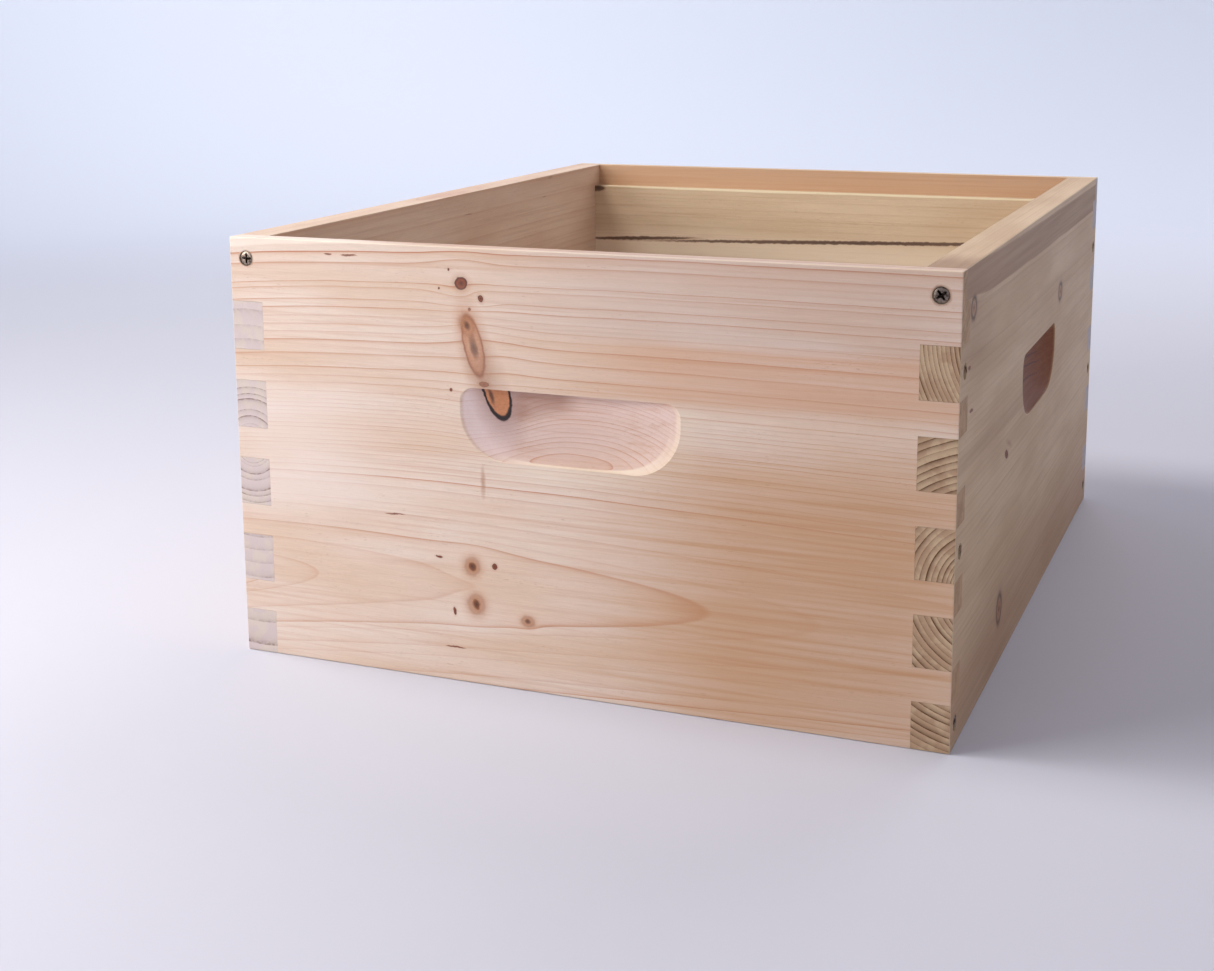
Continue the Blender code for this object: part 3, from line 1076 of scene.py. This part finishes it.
backLook = pineLook | {
    "seed": 5,
    "middle": (-60.0, 60.0),
    "rings": evenRings(60, 250, 7.0, 0.6),
    "lines": 0.7,
    "knots": [
        {"kind": "crack", "at": (172, 20, 190.2), "size": (180, 3, 1.5), "turn": 1.7},
        {"kind": "crack", "at": (355, 20, 186.6), "size": (50, 3, 1.5), "turn": 2.3},
        {"kind": "crack", "at": (391, 20, 226), "size": (7, 4, 2.6)},
        {"kind": "round", "at": (96, 0, 188), "size": (4.2, 9, 3.8), "flow": (22, 10), "deep": 12},
        {"kind": "cloudy", "at": (300, 0, 74), "size": (6, 9, 5.5), "flow": (24, 10), "deep": 12},
        {"kind": "round", "at": (322, 0, 205), "size": (1.6, 6, 1.4)},
    ],
    "tints": [
        {"low": (-9, 8, 227), "high": (430, 11, 246), "soft": (1, 0.8, 0.6), "share": 0.8,
         "colour": tone(200, 156, 120)},
        # painted highlight: pale cream along the front edge of the rest ledge
        {"low": (18, 16, 226.9), "high": (396, 22, 229), "soft": (4, 0.5, 0.3), "share": 0.7,
         "colour": tone(255, 244, 208)},
        # painted light: the lower inner face made paler where it lies in shade
        {"low": (-9, 18, -9), "high": (430, 24, 190), "soft": (1, 1, 10), "share": 0.45,
         "colour": tone(255, 240, 214)},
    ],
    "colours": pineColours | {
        "pale": tone(226, 202, 168),
        "warm": tone(214, 188, 152),
        "streak": tone(200, 166, 126),
        "soft": tone(204, 168, 128),
        "late": tone(168, 122, 82),
        # darker recess tone: painted shade in the handhold
        "pocketTintAndShade": tone(206, 184, 170),
    },
}

leftLook = pineLook | {
    "seed": 7,
    "middle": (9.0, 124.0),
    "rings": [
        (124, 0.2), (130, 0.8), (133, 0.6), (139, 1.0), (143, 0.5), (150, 1.1), (153, 0.9), (157, 0.6),
        (163, 0.7), (170, 0.3), (178, 0.5), (186, 0.4), (194, 0.6), (203, 0.4), (212, 0.7), (220, 0.5),
        (230, 0.4), (244, 0.6), (250, 0.5),
    ],
    "latePower": 8.0,
    "lines": 0.6,
    "endLines": 0.95,
    "knots": [
        {"kind": "round", "at": (128, 0, 92), "size": (5, 9, 4.4), "flow": (24, 11), "deep": 12},
        {"kind": "cloudy", "at": (372, 0, 56), "size": (6.5, 9, 6), "flow": (26, 10), "deep": 12},
        {"kind": "round", "at": (396, 0, 176), "size": (1.5, 6, 1.7)},
    ],
    "colours": pineColours | {
        "pale": tone(228, 202, 176),
        "warm": tone(216, 184, 156),
        "endPale": tone(210, 194, 182),
        "endTint": tone(206, 188, 184),
        "endLate": tone(128, 100, 86),
    },
}

rightLook = pineLook | {
    "seed": 11,
    "middle": (-19.0, 85.0),
    "climb": -6.0,
    "rings": evenRings(85, 250, 3.5, 0.55),
    "lines": 0.7,
    "softLines": 0.35,
    "streaks": 0.28,
    "endLines": 1.75,
    "endSoft": 0.8,
    "upper": {"above": 168.0, "middle": (-48.0, 212.0), "tight": 1.6},
    "sheen": 0.2,
    "knots": [
        {"kind": "ring", "at": (29, 0, 222), "size": (7, 20, 6), "flow": (24, 7), "push": 0.7},
        {"kind": "ring", "at": (331, 0, 185), "size": (8, 20, 6), "flow": (40, 7), "push": 0.7},
        {"kind": "ring", "at": (133, 0, 33), "size": (8, 20, 9), "flow": (22, 9), "push": 0.7},
        {"kind": "cloudy", "at": (133, 0, 33), "size": (3.6, 20, 4.4)},
        {"kind": "cloudy", "at": (29, 0, 222), "size": (2.4, 20, 1.8)},
        {"kind": "cloudy", "at": (331, 0, 185), "size": (3, 20, 2)},
        {"kind": "round", "at": (141, 0, 121), "size": (5, 20, 2.2), "turn": 20},
        {"kind": "smear", "at": (148, 0, 126), "size": (9, 20, 1.6), "turn": 20},
        {"kind": "pitch", "at": (22, 0, 193), "size": (3.5, 4, 1.2), "turn": 5},
        {"kind": "pitch", "at": (30, 0, 170), "size": (5, 4, 1.0), "turn": 5},
        {"kind": "pitch", "at": (250, 9, 154), "size": (60, 4, 0.8), "turn": 3},
        {"kind": "pitch", "at": (262, 9, 148), "size": (52, 4, 0.7), "turn": 4},
        {"kind": "pitch", "at": (240, 9, 160), "size": (50, 4, 0.6), "turn": 3},
        {"kind": "pitch", "at": (256, 8, 141), "size": (44, 4, 0.6), "turn": 3},
    ],
    "tints": [
        {"low": (-9, -2, 227.5), "high": (520, 22, 246), "soft": (1, 1, 0.7), "share": 0.75,
         "colour": tone(150, 112, 80)},
        {"low": (-9, -2, -9), "high": (520, 22, 50), "soft": (1, 1, 24), "share": 0.5,
         "colour": tone(164, 118, 88)},
        {"low": (-9, -2, 143), "high": (200, 22, 153), "soft": (30, 1, 2), "share": 0.3,
         "colour": tone(160, 120, 88)},
        # painted shade: strong orange-brown over the handhold recess
        {"low": (190, 0.8, 126), "high": (325, 20, 172), "soft": (3, 0.5, 4), "share": 0.9,
         "colour": tone(152, 88, 22)},
        {"low": (-9, -2, 188), "high": (80, 22, 228), "soft": (40, 1, 16), "share": 0.35,
         "colour": tone(146, 102, 66)},
    ],
    "colours": pineColours | {
        "pale": tone(214, 185, 150),
        "warm": tone(198, 165, 128),
        "streak": tone(170, 135, 98),
        "soft": tone(180, 142, 104),
        "late": tone(146, 100, 66),
        "endPale": tone(198, 170, 138),
        "endTint": tone(184, 152, 122),
        "endLate": tone(100, 68, 44),
        # orange-brown multiplied over the handhold recess: painted shade
        "pocketTintAndShade": tone(198, 152, 88),
    },
}


boardLooks = {
    "front_board": frontLook,
    "back_board": backLook,
    "left_board": leftLook,
    "right_board": rightLook,
}


def makeBoards():
    past = 0.004  # the rest is cut this far beyond the board
    for name in boardPlaces():
        endBoard = name in ("front_board", "back_board")
        thickness = endThickness if endBoard else sideThickness
        halfLength = (hiveWidth if endBoard else hiveLength) / 2
        steps = endBoardSteps() if endBoard else sideBoardSteps()
        board = meshObject(f"{name}_pine", boardBlank(steps, thickness))
        if endBoard:
            low = (-halfLength - past, frameRest["lip"], hiveHeight - frameRest["drop"])
            carve(board, boxShape(low, (halfLength + past, thickness + past, hiveHeight + past)), "rest")
        easeBoard(board, halfLength)
        carve(board, handholdShape(), "handhold")
        easeHandholdRim(board)
        toBoard = boardMatrix(name).inverted()
        for _, pair, matrix, sink in screwPlan():
            if name in pair:
                hole = screwHole(sink)
                hole.transform(toBoard @ matrix)
                carve(board, hole, "screw hole")
        board.matrix_world = boardMatrix(name)
        board.data.materials.clear()
        board.data.materials.append(pineMaterial(f"{name}_pine", boardLooks[name], halfLength))
        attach(board, "root")
        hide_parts(name)
        print("board made:", name, len(board.data.polygons), "faces")


# zinc screws

zincLook = {
    # brownish and dark: partly the yellowish zinc, partly painted shade and a painted reflection of the
    # wood around the heads
    "zincToneAndShade": tone(142, 128, 116),
    "darkZincToneAndShade": tone(74, 60, 52),
    "stain": (1.6, 1.6, 1.6),
    "stainFrom": (0.4, 0.66),
    "scratch": (2.4, 0.12, 0.12),
    "dull": 0.16,
    "dullStain": 0.3,
    "dullScratch": 0.15,
    "relief": 0.4,
    "reliefDepth": 0.00005,
}


def zincMaterial():
    material, tree, shader = blankMaterial("screw_zinc")
    coordinates = tree.nodes.new("ShaderNodeTexCoord")
    spot = vectorCalc(tree, "MULTIPLY", coordinates.outputs["Object"], (1000, 1000, 1000))
    stain = noise(tree, spot, zincLook["stain"], 3.0)
    scratch = noise(tree, spot, zincLook["scratch"])
    # zinc tones: partly the metal's own, partly painted shade and painted wood reflection
    colour = mixed(tree, stain.between(*zincLook["stainFrom"]), zincLook["zincToneAndShade"], zincLook["darkZincToneAndShade"])
    shader.inputs["Metallic"].default_value = 1.0
    tree.links.new(colour, shader.inputs["Base Color"])
    dull = stain * zincLook["dullStain"] + scratch * zincLook["dullScratch"] + zincLook["dull"]
    plug(tree, dull.held(), shader.inputs["Roughness"])
    addRelief(tree, shader, scratch + stain, zincLook["relief"], zincLook["reliefDepth"])
    return material


def makeScrews():
    zinc = zincMaterial()
    pattern = meshObject("screw_pattern", screwShape())
    carve(pattern, driverCross(), "driver cross")
    pattern.data.shade_smooth()
    pattern.data.set_sharp_from_angle(angle=math.radians(screwSizes["sharpTurn"]))
    pattern.data.materials.clear()
    pattern.data.materials.append(zinc)
    for number, (name, _, matrix, _) in enumerate(screwPlan()):
        screw = bpy.data.objects.new(f"{name}_zinc", pattern.data.copy())
        bpy.context.scene.collection.objects.link(screw)
        turned = math.radians(screwSizes["turnStep"] * number)
        screw.matrix_world = matrix @ Matrix.Rotation(turned, 4, "Z")
        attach(screw, "root")
        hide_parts(name)
    bpy.data.objects.remove(pattern, do_unlink=True)
    print("screws made:", len(screwPlan()))


# floor, light and camera

studio = {
    "flatRadius": 2.0,
    "sweepRadius": 1.0,
    "sweepSteps": 24,
    "around": 96,
    "wallTop": 3.2,
    "gap": 0.0002,  # between the box and the floor
    "floor": tone(206, 206, 216),
    "backdrop": tone(214, 219, 229),
    "backdropGlow": tone(232, 238, 255),
    "farFrom": (0.55, 2.6),  # metres from the box, where the floor turns into backdrop
    "glow": 0.09,
    "backGlow": 0.43,
    "behindFrom": (0.3, 2.4),
    "fadeAcross": (-2.2, 0.6),  # the backdrop darkens from left to right
    "fade": 0.6,
    "cloth": (0.25, 0.25, 0.25),
    "clothRelief": 0.15,
    "clothDepth": 0.01,
    "sky": tone(255, 238, 236),
    "skyStrength": 0.22,
    "lights": [
        {"name": "high_left", "at": (-0.95, -0.35, 1.75), "size": 0.75, "watts": 22.5,
         "tint": (1.0, 0.985, 0.96)},
        {"name": "low_left", "at": (-0.85, -0.95, 0.48), "size": 0.6, "watts": 8.5,
         "tint": (1.0, 0.985, 0.96)},
        {"name": "back", "at": (0.3, 1.5, 1.7), "size": 1.4, "watts": 12, "tint": (1.0, 0.96, 0.93)},
    ],
    "aim": (0.0, 0.0, 0.12),
}


viewpoint = {
    "at": (0.3641, -1.0794, 0.3669),
    "turn": (79.394, 0.452, 22.331),
    "lens": 52.06,
    "shiftY": -0.12,
}


def bowlShape():  # flat floor that sweeps up into a round wall
    flat, sweep, steps = studio["flatRadius"], studio["sweepRadius"], studio["sweepSteps"]
    profile = [(0.02, 0.0), (0.5, 0.0), (flat, 0.0)]
    for step in range(1, steps + 1):
        angle = math.pi / 2 * step / steps
        profile.append((flat + sweep * math.sin(angle), sweep * (1 - math.cos(angle))))
    profile.append((flat + sweep, studio["wallTop"]))
    bm = bmesh.new()
    around = studio["around"]
    rings = [turnedRing(bm, lambda _, r=radius: r, height, around) for radius, height in profile]
    joinRings(bm, rings[::-1])
    bm.faces.new(rings[0])
    return bm


def makeStudio():
    floor = meshObject("studio_floor", bowlShape())
    floor.data.shade_smooth()
    floor.location.z = -studio["gap"]
    material, tree, shader = blankMaterial("studio_floor")
    coordinates = tree.nodes.new("ShaderNodeTexCoord")
    spot = coordinates.outputs["Object"]
    far = lengthOf(tree, spot).between(*studio["farFrom"])
    colour = mixed(tree, far, studio["floor"], studio["backdrop"])
    tree.links.new(colour, shader.inputs["Base Color"])
    shader.inputs["Roughness"].default_value = 0.85
    shader.inputs["Specular IOR Level"].default_value = 0.2
    shader.inputs["Emission Color"].default_value = studio["backdropGlow"]
    behind = split(tree, spot)[1].between(*studio["behindFrom"])
    fade = split(tree, spot)[0].between(*studio["fadeAcross"])
    behind = behind * fade.calc("MULTIPLY_ADD", -studio["fade"], 1.0)
    plug(tree, far * studio["glow"] + behind * studio["backGlow"], shader.inputs["Emission Strength"])
    cloth = noise(tree, spot, studio["cloth"], 3.0)
    addRelief(tree, shader, cloth, studio["clothRelief"], studio["clothDepth"])
    floor.data.materials.append(material)

    world = bpy.data.worlds.new("studio_sky")
    world.use_nodes = True
    background = world.node_tree.nodes["Background"]
    background.inputs["Color"].default_value = studio["sky"]
    background.inputs["Strength"].default_value = studio["skyStrength"]
    bpy.context.scene.world = world
    for lamp in studio["lights"]:
        data = bpy.data.lights.new(lamp["name"], "AREA")
        data.shape = "DISK"
        data.size = lamp["size"]
        data.energy = lamp["watts"]
        data.color = lamp["tint"]
        light = bpy.data.objects.new(lamp["name"], data)
        bpy.context.scene.collection.objects.link(light)
        light.location = lamp["at"]
        aim = Vector(studio["aim"]) - Vector(lamp["at"])
        light.rotation_euler = aim.to_track_quat("-Z", "Y").to_euler()


def makeCamera():
    data = bpy.data.cameras.new("camera")
    data.sensor_width = 36.0
    data.lens = viewpoint["lens"]
    data.shift_y = viewpoint["shiftY"]
    data.clip_start = 0.01
    camera = bpy.data.objects.new("camera", data)
    bpy.context.scene.collection.objects.link(camera)
    camera.location = viewpoint["at"]
    camera.rotation_euler = [math.radians(angle) for angle in viewpoint["turn"]]
    bpy.context.scene.camera = camera


makeCamera()
makeBoards()
makeScrews()
makeStudio()
bpy.context.scene.view_settings.view_transform = "Standard"
